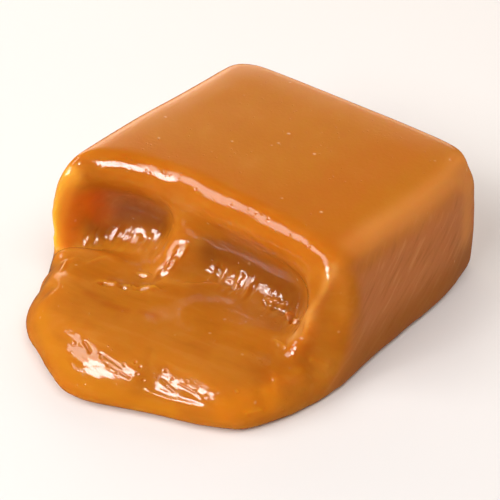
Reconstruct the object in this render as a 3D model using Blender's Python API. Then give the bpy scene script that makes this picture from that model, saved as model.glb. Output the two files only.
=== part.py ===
"""Soft caramel: a cut square sweet whose front third has been bitten down and drawn out.

What is left is a block with two hollows in its front wall, a rib between them, and a thick
tongue that runs forward from the foot of that wall. It is one piece of caramel, so one solid.

Frame: X along the block's front edge, Y from the tongue (-) to the back of the block (+), Z up.
The origin is the middle of the footprint, on the surface that the caramel lies on.
"""

import bmesh
import bpy
import numpy as np
from mathutils import Matrix

MM = 0.001

# Driving dimensions, in millimetres
HEIGHT = 11.4  # thickness of the slab that the square was cut from
LEFT = -13.3
RIGHT = 13.2
BACK = 17.0
REACH = -17.2  # foremost point of the tongue
WALL = -1.7  # the front wall's top edge, where the bite ends

# Radii of the block's edges, in millimetres
TOP_ROUND = 1.5
CORNER_ROUND = {"back_left": 3.2, "back_right": 2.0, "front_left": 0.9, "front_right": 1.0}
FOOT_ROUND = 0.5
ROUND_STEPS = 6

# Meshing: grids in millimetres, and how many triangles the finished piece may have
CLAY_GRID = 0.25
SKIN_GRID = 0.28
SKIN_ROUNDS = 4  # how often the skin is smoothed before the folds are raised, and after that
FOLD_ROUNDS = 4
TRIANGLES = 9000
FLAT_FOOT = 0.06  # points this near to the floor, in millimetres, lie on it


def eased(t):
    """The four weights of a cubic from one point (value, slope) to the next (value, slope)."""
    return (
        (1 + 2 * t) * (1 - t) ** 2,
        t * (1 - t) ** 2,
        t * t * (3 - 2 * t),
        -t * t * (1 - t),
    )


def curve(*points):
    """A smooth curve through (place, value) points, as a function of an array of places."""
    places, values = np.array(points, float).T
    slopes = np.gradient(values, places)

    def at(x):
        i = np.clip(np.searchsorted(places, x) - 1, 0, len(places) - 2)
        span = places[i + 1] - places[i]
        a, b, c, d = eased(np.clip((x - places[i]) / span, 0.0, 1.0))
        return a * values[i] + b * span * slopes[i] + c * values[i + 1] + d * span * slopes[i + 1]

    return at


# The drawn front is a sheet between rails that run across the caramel from left to right.
# These are the rails in plan: Y over X, in millimetres.
EDGE = curve(  # the front wall's top edge
    (LEFT, -5.2), (-12.2, -5.0), (-10.3, -3.8), (-7.8, -2.6), (-5.2, -1.9),
    (0, WALL), (4.2, WALL), (8, -2.0), (11.2, -2.8), (RIGHT, -2.4),
)
BROW = curve(  # the band under that edge
    (LEFT, -6.4), (-12.5, -6.2), (-11.0, -4.4), (-8.8, -3.0), (-5.4, -2.1),
    (0, -1.9), (4.5, -1.8), (8.6, -2.2), (10.7, -2.9), (11.3, -3.2), (12, -2.8), (RIGHT, -2.4),
)
HOLLOW = curve(  # the deepest line of the two hollows, and the rib's front between them
    (LEFT, -7.9), (-12.7, -6.9), (-12.1, -4.6), (-11.2, -3.0), (-9.7, -1.9), (-8, -1.2), (-5.6, -0.9),
    (-4.7, -1.2), (-4.0, -2.1), (-3.2, -2.3), (-2.2, -1.9), (-1.0, -1.3), (1.5, -0.7), (4.5, -0.4),
    (7.2, -0.6), (9.0, -1.7), (10.0, -3.3), (10.5, -4.2), (11.1, -3.6), (RIGHT, -2.7),
)
SILL = curve(  # where the wall starts to bend forward
    (LEFT, -8.1), (-12.7, -6.8), (-12.1, -5.2), (-11.1, -4.0), (-9.7, -3.1), (-7.9, -2.3), (-5.7, -1.8),
    (-4.8, -2.3), (-4.1, -3.5), (-3.3, -3.7), (-2.4, -3.2), (-1.1, -2.1), (1.5, -1.4), (4.5, -1.1),
    (7.3, -1.3), (9.0, -2.5), (9.9, -3.9), (10.4, -4.6), (11.1, -3.9), (RIGHT, -2.9),
)
FOOT = curve(  # where the wall has run out into the tongue
    (LEFT, -8.2), (-12.7, -7.3), (-12.0, -6.3), (-10.9, -5.3), (-9.6, -4.4), (-7.8, -3.6), (-5.8, -3.2),
    (-5.0, -3.6), (-4.3, -5.0), (-3.5, -5.2), (-2.6, -4.5), (-1.2, -3.0), (3.5, -2.3), (7.4, -2.5),
    (9.0, -3.6), (9.8, -4.7), (10.3, -5.0), (11.1, -4.2), (RIGHT, -3.1),
)
SHOULDER = curve(  # where the tongue's top bends down to its rim, in two lobes
    (LEFT, -8.4), (-12, -10.7), (-10.8, -12.4), (-9.3, -13.5), (-7.5, -14.2), (-5, -15.0), (-3, -15.2),
    (-1, -15.0), (1.2, -14.5), (2.4, -14.0), (3.2, -13.1), (4.6, -12.6), (6.5, -12.3), (8.3, -12.0),
    (9.8, -10.8), (11.6, -8.3), (12.5, -6.3), (RIGHT, -3.8),
)
RIM = curve(  # the tongue's outline, where its rim is fullest
    (LEFT, -8.5), (-12.7, -9.7), (-12.0, -11.3), (-10.8, -13.6), (-9.3, -14.9), (-7.5, -15.6),
    (-5.0, -16.6), (-2.6, REACH), (-1.0, -16.9), (1.5, -15.8), (4.6, -14.4), (8.0, -13.0),
    (10.0, -11.6), (11.6, -9.0), (12.5, -6.6), (RIGHT, -3.8),
)

# Heights of the lower rails over X, in millimetres
SILL_HEIGHT = curve(
    (LEFT, 4.2), (-11.7, 3.8), (-9, 3.8), (-6.5, 4.0), (-3.8, 4.9), (-1, 4.6), (8, 4.5), (RIGHT, 4.8),
)
FOOT_HEIGHT = curve(
    (LEFT, 2.8), (-12.6, 2.4), (-12.0, 2.2), (-11, 2.3), (-9.5, 2.8), (-7.5, 3.1), (-5.8, 3.4),
    (-3.9, 3.6), (-1, 3.6), (4, 3.5), (8, 3.6), (10.0, 4.6), (11.4, 4.0), (RIGHT, 3.6),
)
FLOOR_HEIGHT = curve(
    (LEFT, 1.7), (-12.6, 2.8), (-11.4, 3.6), (-8, 3.7), (-3, 3.8), (4, 3.5), (9.5, 3.5),
    (11, 3.2), (RIGHT, 2.5),
)
TONGUE_HEIGHT = curve((LEFT, 1.3), (-11.8, 3.1), (-5, 4.4), (2, 4.35), (8, 3.9), (11, 3.2), (RIGHT, 1.9))
SHOULDER_HEIGHT = curve(
    (LEFT, 1.3), (-11, 2.9), (-7, 3.6), (-3, 3.8), (1, 3.6), (4, 3.5), (9, 3.1), (RIGHT, 1.7),
)
BROW_HEIGHT = 9.0
HOLLOW_HEIGHT = 6.1
FULLEST_HEIGHT = 1.3
UNDERCUT = 0.25  # how far the rim's line on the floor lies behind its outline
FULL_EDGE = 0.1  # share of the pull that works at the front alone, which keeps the top edge full
FULL_EDGE_POWER = 10

# How far the soft sides have sagged out past the cut square, and how far the knife pushed the
# right side's top edge in, over Y.
LEFT_SAG = curve(
    (REACH, 0.1), (-11, 0.0), (-9.5, 0.05), (-8, 0.75), (-4, 1.0), (3, 1.0), (9, 0.65), (BACK, 0.35),
)
RIGHT_SAG = curve((REACH, 0.1), (-6, 0.15), (0, 0.2), (5, 0.5), (11, 0.85), (BACK, 0.1))
RIGHT_LEAN = curve((REACH, 0.6), (-3, 0.9), (6, 1.4), (BACK, 1.4))
BACK_SAG = 0.35

# Folds of the drawn caramel: height (a groove is negative), half width, and the way in plan
FOLDS = {
    "drape": (0.55, 0.8, ((-13.0, -9.2), (-11.4, -7.4), (-9.4, -5.8), (-7.2, -5.2))),
    "lip": (0.4, 0.6, ((-7.6, -9.0), (-5.1, -8.3), (-3.0, -6.8), (-1.0, -5.6))),
    "left_tuck": (-0.4, 0.8, ((-12.2, -10.6), (-10.4, -12.2), (-8.6, -12.6))),
    "right_lobe": (0.4, 0.9, ((10.2, -8.4), (11.4, -7.0), (12.2, -5.6))),
}
FOLD_SIDE = (0.0, -0.6, 0.8)  # the way that a fold stands out of the wall and the tongue
FOLD_END = 0.2  # share of its way over which a fold fades out, at either end
FOLDS_BETWEEN = (1.0, 2.0, 6.0, 7.5)  # heights between which folds fade in, and fade out again


def level(height):
    return lambda x: np.full_like(x, height)


def between(share):
    """A rail that lies a share of the way from the foot of the wall to the rim."""
    return lambda x: FOOT(x) + (RIM(x) - FOOT(x)) * share


# Each rail of the sheet: how far down it lies, its Y over X, its height over X
RAILS = [
    (0.00, EDGE, level(HEIGHT)),
    (0.14, BROW, level(BROW_HEIGHT)),
    (0.25, HOLLOW, level(HOLLOW_HEIGHT)),
    (0.33, SILL, SILL_HEIGHT),
    (0.41, FOOT, FOOT_HEIGHT),
    (0.52, between(0.20), FLOOR_HEIGHT),
    (0.66, between(0.62), TONGUE_HEIGHT),
    (0.81, SHOULDER, SHOULDER_HEIGHT),
    (0.92, RIM, level(FULLEST_HEIGHT)),
    (1.00, lambda x: RIM(x) + UNDERCUT, level(0.0)),
]


def drawn_front(x, down):
    """Y and height of the front sheet at X, a share of the way down it."""
    places = np.array([place for place, _, _ in RAILS])
    here = np.arange(len(x))
    i = np.clip(np.searchsorted(places, down) - 1, 0, len(places) - 2)
    span = places[i + 1] - places[i]
    a, b, c, d = eased(np.clip((down - places[i]) / span, 0.0, 1.0))

    def across(rails):
        values = np.array([rail(x) for rail in rails])
        slopes = np.gradient(values, places, axis=0)
        ends = a * values[i, here] + c * values[i + 1, here]
        return ends + span * (b * slopes[i, here] + d * slopes[i + 1, here])

    return across([y for _, y, _ in RAILS]), across([z for _, _, z in RAILS])


def nearness(points, way, width):
    """How near points of the plan are to a way: 1 on it, 0 away from it and at its two ends."""
    nearest = np.full(len(points), np.inf)
    place = np.zeros(len(points))
    passed = 0.0
    for start, end in zip(np.array(way[:-1]), np.array(way[1:])):
        length = np.linalg.norm(end - start)
        run = (end - start) / length
        t = np.clip((points - start) @ run, 0.0, length)
        distance = np.linalg.norm(points - (start + t[:, None] * run), axis=1)
        place = np.where(distance < nearest, passed + t, place)
        nearest = np.minimum(distance, nearest)
        passed += length
    ends = np.clip(np.minimum(place, passed - place) / (FOLD_END * passed), 0, 1)
    return np.exp(-((nearest / width) ** 2)) * ends * ends * (3 - 2 * ends)


def cut_square():
    """The square as it was cut: a box with each edge rounded to its own radius."""
    mesh = bmesh.new()
    bmesh.ops.create_cube(mesh, size=1.0)
    size = (RIGHT - LEFT, BACK - REACH, HEIGHT)
    bmesh.ops.scale(mesh, vec=size, verts=mesh.verts)
    centre = ((LEFT + RIGHT) / 2, (BACK + REACH) / 2, HEIGHT / 2)
    bmesh.ops.translate(mesh, vec=centre, verts=mesh.verts)
    near = 1e-4

    def round_off(radius, chosen):
        bmesh.ops.bevel(
            mesh,
            geom=[e for e in mesh.edges if all(chosen(v.co) for v in e.verts)],
            offset=radius,
            offset_type="OFFSET",
            affect="EDGES",
            segments=ROUND_STEPS,
            profile=0.5,
            material=-1,
        )

    for corner, radius in CORNER_ROUND.items():
        x = LEFT if corner.endswith("left") else RIGHT
        y = BACK if corner.startswith("back") else REACH
        round_off(radius, lambda p: abs(p.x - x) < near and abs(p.y - y) < near)
    round_off(TOP_ROUND, lambda p: p.z > HEIGHT - near)
    round_off(FOOT_ROUND, lambda p: p.z < near)
    return mesh


def as_object(name, mesh):
    data = bpy.data.meshes.new(name)
    bmesh.ops.recalc_face_normals(mesh, faces=mesh.faces)
    mesh.to_mesh(data)
    mesh.free()
    obj = bpy.data.objects.new(name, data)
    bpy.context.scene.collection.objects.link(obj)
    return obj


def settle(obj):
    """Applies the object's modifiers."""
    graph = bpy.context.evaluated_depsgraph_get()
    old = obj.data
    obj.data = bpy.data.meshes.new_from_object(obj.evaluated_get(graph))
    obj.modifiers.clear()
    bpy.data.meshes.remove(old)
    obj.data.name = obj.name


def remesh(obj, grid):
    modifier = obj.modifiers.new("even_grid", "REMESH")
    modifier.mode = "VOXEL"
    modifier.voxel_size = grid
    settle(obj)


def soften(obj, rounds):
    modifier = obj.modifiers.new("soften", "SMOOTH")
    modifier.factor = 0.5
    modifier.iterations = rounds
    settle(obj)


def thin_out(obj, triangles):
    modifier = obj.modifiers.new("fewer_faces", "DECIMATE")
    modifier.ratio = triangles / (2 * len(obj.data.polygons))
    settle(obj)


def move_points(obj, rule):
    points = np.empty(len(obj.data.vertices) * 3, np.float32)
    obj.data.vertices.foreach_get("co", points)
    moved = rule(points.reshape(-1, 3).astype(float))
    obj.data.vertices.foreach_set("co", moved.astype(np.float32).ravel())
    obj.data.update()


def draw_out(points):
    """Bites the front of the cut square down and draws it forward, less and less towards the back."""
    x, y, z = points.T
    pull = (BACK - y) / (BACK - REACH)
    front_y, front_z = drawn_front(x, 1.0 - z / HEIGHT)
    pull_y = pull + FULL_EDGE * (pull ** FULL_EDGE_POWER - pull)
    return np.stack([x, BACK + (front_y - BACK) * pull_y, z + (front_z - z) * pull], 1)


def slump(points):
    """Lets the soft sides sag out and leans the cut side in at its top."""
    x, y, z = points.T
    across = (x - LEFT) / (RIGHT - LEFT)
    right = (RIGHT_SAG(y) - RIGHT_LEAN(y) * (z / HEIGHT) ** 2) * across
    left = LEFT_SAG(y) * (1 - across)
    middle = np.clip(1 - (2 * across - 1) ** 4, 0, 1)
    return np.stack([x + right - left, y + BACK_SAG * middle * np.clip(y / BACK, 0, 1), z], 1)


def crease(points):
    """Raises the folds of the drawn front and sinks its tuck."""
    start, full, fading, end = FOLDS_BETWEEN
    z = points[:, 2]
    where = np.clip((z - start) / (full - start), 0, 1) * np.clip((end - z) / (end - fading), 0, 1)
    rise = sum(height * nearness(points[:, :2], way, width) for height, width, way in FOLDS.values())
    return points + (where * rise)[:, None] * np.array(FOLD_SIDE)


def lie_flat(points):
    """Puts the underside on the floor."""
    points[points[:, 2] < FLAT_FOOT, 2] = 0.0
    return points


def caramel_material():
    """Glossy orange-brown caramel."""
    material = bpy.data.materials.new("caramel")
    material.use_nodes = True
    shader = material.node_tree.nodes["Principled BSDF"]
    shader.inputs["Base Color"].default_value = (0.56, 0.20, 0.03, 1.0)
    shader.inputs["Roughness"].default_value = 0.22
    shader.inputs["Metallic"].default_value = 0.0
    return material


def make_caramel():
    caramel = as_object("caramel", cut_square())
    remesh(caramel, CLAY_GRID)
    move_points(caramel, draw_out)
    move_points(caramel, slump)
    remesh(caramel, SKIN_GRID)
    soften(caramel, SKIN_ROUNDS)
    move_points(caramel, crease)
    soften(caramel, FOLD_ROUNDS)
    return caramel


def main():
    for obj in list(bpy.data.objects):
        bpy.data.objects.remove(obj)
    caramel = make_caramel()
    thin_out(caramel, TRIANGLES)
    move_points(caramel, lie_flat)
    caramel.data.transform(Matrix.Scale(MM, 4))
    caramel.data.shade_smooth()
    caramel.data.materials.clear()
    caramel.data.materials.append(caramel_material())
    print(caramel.name, len(caramel.data.polygons), "faces")


main()
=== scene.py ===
# %% [markdown]
# # Soft caramel
#
# A square cut from a slab of soft caramel, 28 mm wide and 11 mm thick, whose front third has been
# bitten down and drawn out. The cut faces have a satin skin. The two hollows of the bite and the
# tongue under them are fresh and wet, so they shine.
#
# The sweet is one soft mass with no seam, so it is one mesh, and it is shaped the way the real one
# was: cut square, drawn out, left to sag, and then marked with finer and finer folds. Its points
# are in millimetres until the last step, which keeps the numbers easy to read.

# %% Libraries and the frame
import math

import bmesh
import bpy
import numpy as np
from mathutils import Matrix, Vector, noise
from mathutils.bvhtree import BVHTree


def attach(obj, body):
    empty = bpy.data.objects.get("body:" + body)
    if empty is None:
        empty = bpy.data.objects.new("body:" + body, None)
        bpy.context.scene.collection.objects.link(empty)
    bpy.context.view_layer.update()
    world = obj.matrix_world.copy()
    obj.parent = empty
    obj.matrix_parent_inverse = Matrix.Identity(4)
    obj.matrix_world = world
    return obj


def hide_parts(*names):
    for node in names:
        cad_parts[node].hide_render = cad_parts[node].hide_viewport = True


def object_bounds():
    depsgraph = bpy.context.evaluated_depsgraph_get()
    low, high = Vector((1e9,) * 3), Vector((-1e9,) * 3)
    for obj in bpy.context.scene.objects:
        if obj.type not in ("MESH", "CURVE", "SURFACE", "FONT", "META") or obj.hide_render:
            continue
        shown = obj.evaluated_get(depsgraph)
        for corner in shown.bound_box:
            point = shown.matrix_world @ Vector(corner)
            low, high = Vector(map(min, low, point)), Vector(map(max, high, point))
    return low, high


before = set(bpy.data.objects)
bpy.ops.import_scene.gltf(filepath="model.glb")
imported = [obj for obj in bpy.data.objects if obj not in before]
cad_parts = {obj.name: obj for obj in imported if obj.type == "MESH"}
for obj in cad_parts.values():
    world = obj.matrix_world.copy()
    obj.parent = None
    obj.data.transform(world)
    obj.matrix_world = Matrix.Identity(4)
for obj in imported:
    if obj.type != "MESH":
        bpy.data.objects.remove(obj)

MM = 0.001  # metres in a millimetre
cad_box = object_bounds()
print("box of the solid, in metres", cad_box)

# %% [markdown]
# ## The camera
#
# The camera stands to the right of the caramel and looks down on it from 100 mm away. It could be
# made last, but the small folds and the shine are judged by where they lie in its picture, so it
# comes first and their places are written as points of a picture 500 wide and 500 high. A ray from
# the camera finds each place on the surface, and the fold is pressed in there. So a fold is real
# geometry, and it looks right from any side.

# %% Where the camera stands
CAMERA_WAY = (38.9, 39.3)  # azimuth and elevation, in degrees
CAMERA_DISTANCE = 100.0
AIM = Vector((-3.0, 5.7, 0.0))


def direction(azimuth, elevation):
    """The way from the caramel to a thing around it: azimuth 0 is its front, 90 its right."""
    azimuth, elevation = math.radians(azimuth), math.radians(elevation)
    flat = math.cos(elevation)
    return np.array((math.sin(azimuth) * flat, -math.cos(azimuth) * flat, math.sin(elevation)))


toward = Vector(direction(*CAMERA_WAY))
eye = AIM + toward * CAMERA_DISTANCE
turn = (-toward).to_track_quat("-Z", "Y")
print("camera at", [round(c, 1) for c in eye], "mm")

# %% The camera and its line of sight
FOCAL = 1121.0  # in points of the picture
PICTURE = 500.0
SENSOR = 36.0

camera = bpy.data.objects.new("camera", bpy.data.cameras.new("camera"))
bpy.context.scene.collection.objects.link(camera)
bpy.context.scene.camera = camera
camera.location = eye * MM
camera.rotation_mode = "QUATERNION"
camera.rotation_quaternion = turn
camera.data.sensor_width = SENSOR
camera.data.lens = FOCAL / PICTURE * SENSOR
camera.data.clip_start = 0.001
print("lens", round(camera.data.lens, 1), "mm")


def sight_line(u, v):
    """Where the camera is, and its direction through a point of the picture."""
    ahead = Vector((u - PICTURE / 2, PICTURE / 2 - v, -FOCAL)).normalized()
    return eye, turn @ ahead


# %% [markdown]
# ## The cut square
#
# A knife cut the slab while it was warm, so the faces are flat and the edges sank into soft rounds.
# It could be a cube under a subdivision modifier, but then no edge has a size of its own. A box
# with bevelled edges gives each one its real radius. The box already reaches as far forward as the
# tongue will, and its front is pressed into shape in a later step.

# %% Sizes of the square
HEIGHT = 11.4
LEFT = -13.3
RIGHT = 13.2
BACK = 17.0
REACH = -17.2  # the foremost point of the tongue

TOP_ROUND = 1.5
FOOT_ROUND = 0.5
CORNER_ROUND = {"back_left": 3.2, "back_right": 2.0, "front_left": 0.9, "front_right": 1.0}
ROUND_STEPS = 6
NEAR = 1e-4  # points closer to a face than this lie on it
print("square:", round(RIGHT - LEFT, 1), "by", BACK - REACH, "by", HEIGHT, "mm")


# %% The square, with its edges bevelled
def round_off(mesh, radius, chosen):
    """Rounds the edges whose two ends are both chosen."""
    bmesh.ops.bevel(
        mesh,
        geom=[edge for edge in mesh.edges if all(chosen(end.co) for end in edge.verts)],
        offset=radius,
        offset_type="OFFSET",
        affect="EDGES",
        segments=ROUND_STEPS,
        profile=0.5,
        material=-1,
    )


def cut_square():
    mesh = bmesh.new()
    bmesh.ops.create_cube(mesh, size=1.0)
    size = (RIGHT - LEFT, BACK - REACH, HEIGHT)
    bmesh.ops.scale(mesh, vec=size, verts=mesh.verts)
    centre = ((LEFT + RIGHT) / 2, (BACK + REACH) / 2, HEIGHT / 2)
    bmesh.ops.translate(mesh, vec=centre, verts=mesh.verts)
    for corner, radius in CORNER_ROUND.items():
        x = LEFT if corner.endswith("left") else RIGHT
        y = BACK if corner.startswith("back") else REACH
        round_off(mesh, radius, lambda p: abs(p.x - x) < NEAR and abs(p.y - y) < NEAR)
    round_off(mesh, TOP_ROUND, lambda p: p.z > HEIGHT - NEAR)
    round_off(mesh, FOOT_ROUND, lambda p: p.z < NEAR)
    return mesh


# %% [markdown]
# ## From a box to something like clay
#
# A box of a few large faces can't be bent. A voxel remesh turns it into an even grid of small ones,
# which move like clay when their points are pushed. Sculpting by hand would do the same, but no
# one could follow it or change one size later. So each push is a formula on all points at
# once, and the modifiers are applied as soon as they have done their work.

# %% Objects and modifiers
CLAY_GRID = 0.25


def as_object(name, mesh):
    data = bpy.data.meshes.new(name)
    bmesh.ops.recalc_face_normals(mesh, faces=mesh.faces)
    mesh.to_mesh(data)
    mesh.free()
    obj = bpy.data.objects.new(name, data)
    bpy.context.scene.collection.objects.link(obj)
    return obj


def settle(obj):
    """Applies the modifiers of an object."""
    graph = bpy.context.evaluated_depsgraph_get()
    old = obj.data
    obj.data = bpy.data.meshes.new_from_object(obj.evaluated_get(graph))
    obj.modifiers.clear()
    bpy.data.meshes.remove(old)
    obj.data.name = obj.name


def remesh(obj, grid):
    modifier = obj.modifiers.new("even_grid", "REMESH")
    modifier.mode = "VOXEL"
    modifier.voxel_size = grid
    settle(obj)


caramel = as_object("soft_caramel", cut_square())
remesh(caramel, CLAY_GRID)
print("cut square:", len(caramel.data.polygons), "faces")


# %% All points at once, as arrays
def points_of(obj):
    points = np.empty(len(obj.data.vertices) * 3, np.float32)
    obj.data.vertices.foreach_get("co", points)
    return points.reshape(-1, 3).astype(float)


def normals_of(obj):
    normals = np.empty(len(obj.data.vertices) * 3, np.float32)
    obj.data.vertex_normals.foreach_get("vector", normals)
    return normals.reshape(-1, 3).astype(float)


def put_points(obj, points):
    obj.data.vertices.foreach_set("co", points.astype(np.float32).ravel())
    obj.data.update()


# %% [markdown]
# ## The bitten front
#
# The front of the square was pressed down and pulled forward. What is left is a wall with two
# hollows, a soft rib between them, a sharp ridge at their right, and a thick tongue in two lobes.
# One could push a sphere into the box for each hollow, but the real surface flows from the wall
# into the tongue without a step. So it is drawn as a ship's hull is, by smooth lines from left
# to right, one below the other: the wall's edge, its brow, the hollow, the sill, the foot,
# and so on down to the rim of the tongue.


# %% Smooth curves through a few points
def eased(t):
    """Shares of the two ends and of their two slopes, from one end to the other."""
    return ((1 + 2 * t) * (1 - t) ** 2, t * (1 - t) ** 2, t * t * (3 - 2 * t), -t * t * (1 - t))


def curve(*points):
    """A smooth function through points (place, value)."""
    places, values = np.array(points, float).T
    slopes = np.gradient(values, places)

    def at(x):
        i = np.clip(np.searchsorted(places, x) - 1, 0, len(places) - 2)
        span = places[i + 1] - places[i]
        a, b, c, d = eased(np.clip((x - places[i]) / span, 0.0, 1.0))
        ends = a * values[i] + b * span * slopes[i] + c * values[i + 1]
        return ends + d * span * slopes[i + 1]

    return at


# %% The wall, seen from above: how far forward each line lies at each place from left to right
WALL = -1.7  # the middle of the wall's top edge

EDGE = curve(
    (LEFT, -5.2), (-12.2, -5.0), (-10.3, -3.8), (-7.8, -2.6), (-5.2, -1.9),
    (0, WALL), (4.2, WALL), (8, -2.0), (11.2, -2.8), (RIGHT, -2.4),
)
BROW = curve(
    (LEFT, -6.4), (-12.5, -6.2), (-11.0, -4.4), (-8.8, -3.0), (-5.4, -2.1), (0, -1.9),
    (4.5, -1.8), (8.6, -2.2), (10.7, -2.9), (11.3, -3.2), (12, -2.8), (RIGHT, -2.4),
)
HOLLOW = curve(
    (LEFT, -7.9), (-12.7, -6.9), (-12.1, -4.6), (-11.2, -3.0), (-9.7, -1.9), (-8, -1.2),
    (-5.6, -0.9), (-4.7, -1.2), (-4.0, -2.1), (-3.2, -2.3), (-2.2, -1.9), (-1.0, -1.3),
    (1.5, -0.7), (4.5, -0.4), (7.2, -0.6), (9.0, -1.7), (10.0, -3.3), (10.5, -4.2),
    (11.1, -3.6), (RIGHT, -2.7),
)
print("wall's edge at the left, in the middle and at the right", EDGE(np.array([LEFT, 0, RIGHT])))

# %% The foot of the wall
SILL = curve(
    (LEFT, -8.1), (-12.7, -6.8), (-12.1, -5.2), (-11.1, -4.0), (-9.7, -3.1), (-7.9, -2.3),
    (-5.7, -1.8), (-4.8, -2.3), (-4.1, -3.5), (-3.3, -3.7), (-2.4, -3.2), (-1.1, -2.1),
    (1.5, -1.4), (4.5, -1.1), (7.3, -1.3), (9.0, -2.5), (9.9, -3.9), (10.4, -4.6),
    (11.1, -3.9), (RIGHT, -2.9),
)
FOOT = curve(
    (LEFT, -8.2), (-12.7, -7.3), (-12.0, -6.3), (-10.9, -5.3), (-9.6, -4.4), (-7.8, -3.6),
    (-5.8, -3.2), (-5.0, -3.6), (-4.3, -5.0), (-3.5, -5.2), (-2.6, -4.5), (-1.2, -3.0),
    (3.5, -2.3), (7.4, -2.5), (9.0, -3.6), (9.8, -4.7), (10.3, -5.0), (11.1, -4.2),
    (RIGHT, -3.1),
)

# %% The shoulder and the rim of the tongue
SHOULDER = curve(
    (LEFT, -8.4), (-12, -10.7), (-10.8, -12.4), (-9.3, -13.5), (-7.5, -14.2), (-5, -15.0),
    (-3, -15.2), (-1, -15.0), (1.2, -14.5), (2.4, -14.0), (3.2, -13.1), (4.6, -12.6),
    (6.5, -12.3), (8.3, -12.0), (9.8, -10.8), (11.6, -8.3), (12.5, -6.3), (RIGHT, -3.8),
)
RIM = curve(
    (LEFT, -8.5), (-12.7, -9.7), (-12.0, -11.3), (-10.8, -13.6), (-9.3, -14.9), (-7.5, -15.6),
    (-5.0, -16.6), (-2.6, REACH), (-1.0, -16.9), (1.5, -15.8), (4.6, -14.4), (8.0, -13.0),
    (10.0, -11.6), (11.6, -9.0), (12.5, -6.6), (RIGHT, -3.8),
)
print("the tongue runs", round(WALL - REACH, 1), "mm forward of the wall")

# %% How high the lines lie
BROW_HEIGHT = 9.0
HOLLOW_HEIGHT = 6.1
SILL_HEIGHT = curve(
    (LEFT, 4.2), (-11.7, 3.8), (-9, 3.8), (-6.5, 4.0), (-3.8, 4.9), (-1, 4.6), (8, 4.5),
    (RIGHT, 4.8),
)
FOOT_HEIGHT = curve(
    (LEFT, 2.8), (-12.6, 2.4), (-12.0, 2.2), (-11, 2.3), (-9.5, 2.8), (-7.5, 3.1), (-5.8, 3.4),
    (-3.9, 3.6), (-1, 3.6), (4, 3.5), (8, 3.6), (10.0, 4.6), (11.4, 4.0), (RIGHT, 3.6),
)
FLOOR_HEIGHT = curve(
    (LEFT, 1.7), (-12.6, 2.8), (-11.4, 3.6), (-8, 3.7), (-3, 3.8), (4, 3.5), (9.5, 3.5),
    (11, 3.2), (RIGHT, 2.5),
)
TONGUE_HEIGHT = curve(
    (LEFT, 1.3), (-11.8, 3.1), (-5, 4.4), (2, 4.35), (8, 3.9), (11, 3.2), (RIGHT, 1.9),
)
SHOULDER_HEIGHT = curve(
    (LEFT, 1.3), (-11, 2.9), (-7, 3.6), (-3, 3.8), (1, 3.6), (4, 3.5), (9, 3.1), (RIGHT, 1.7),
)
FULLEST_HEIGHT = 1.3  # where the rim bulges most
UNDERCUT = 0.25  # how far the rim draws back below that
print("the tongue is", TONGUE_HEIGHT(np.array([0.0])), "mm thick in its middle")

# %% The lines from top to bottom
FLOOR_SHARE = 0.20  # where the hollows' floor ends
TONGUE_SHARE = 0.62  # where the tongue is thickest


def level(height):
    """The same height all along a line."""
    return lambda x: np.full_like(x, height)


def between(share):
    """A line that lies this share of the way from the foot of the wall to the rim."""
    return lambda x: FOOT(x) + (RIM(x) - FOOT(x)) * share


RAILS = [
    # how far down the front, from 0 to 1; the line seen from above; its height
    (0.00, EDGE, level(HEIGHT)),
    (0.14, BROW, level(BROW_HEIGHT)),
    (0.25, HOLLOW, level(HOLLOW_HEIGHT)),
    (0.33, SILL, SILL_HEIGHT),
    (0.41, FOOT, FOOT_HEIGHT),
    (0.52, between(FLOOR_SHARE), FLOOR_HEIGHT),
    (0.66, between(TONGUE_SHARE), TONGUE_HEIGHT),
    (0.81, SHOULDER, SHOULDER_HEIGHT),
    (0.92, RIM, level(FULLEST_HEIGHT)),
    (1.00, lambda x: RIM(x) + UNDERCUT, level(0.0)),
]
print(len(RAILS), "lines hold the front")


# %% The sheet between the lines, and how the box is drawn out to it
def drawn_front(x, down):
    """Where the front lies, forward and up, at places across it and down it."""
    places = np.array([place for place, _, _ in RAILS])
    here = np.arange(len(x))
    i = np.clip(np.searchsorted(places, down) - 1, 0, len(places) - 2)
    span = places[i + 1] - places[i]
    a, b, c, d = eased(np.clip((down - places[i]) / span, 0.0, 1.0))

    def across(rails):
        values = np.array([rail(x) for rail in rails])
        slopes = np.gradient(values, places, axis=0)
        ends = a * values[i, here] + c * values[i + 1, here]
        return ends + span * (b * slopes[i, here] + d * slopes[i + 1, here])

    return across([y for _, y, _ in RAILS]), across([z for _, _, z in RAILS])


FULL_EDGE = 0.1  # share of the pull that only the front itself takes, so that the top stays full
FULL_EDGE_POWER = 10


def draw_out(points):
    """Moves the box's front to the drawn front, and all behind it by less and less."""
    x, y, z = points.T
    pull = (BACK - y) / (BACK - REACH)
    front_y, front_z = drawn_front(x, 1.0 - z / HEIGHT)
    pull_y = pull + FULL_EDGE * (pull ** FULL_EDGE_POWER - pull)
    return np.stack([x, BACK + (front_y - BACK) * pull_y, z + (front_z - z) * pull], 1)


# %% [markdown]
# ## Sagged sides
#
# Soft caramel can't hold a straight wall. Its left side has swelled outwards, most of all at the
# middle of its length. Its right side leans in towards the top, as it does under a knife that is
# held at a slant, and its back bulges a little. A lattice could bend the box in the same way, but
# three curves along the sides say more clearly by how many millimetres. After the bend the grid is
# uneven, so the form is remeshed once more and smoothed.

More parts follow.
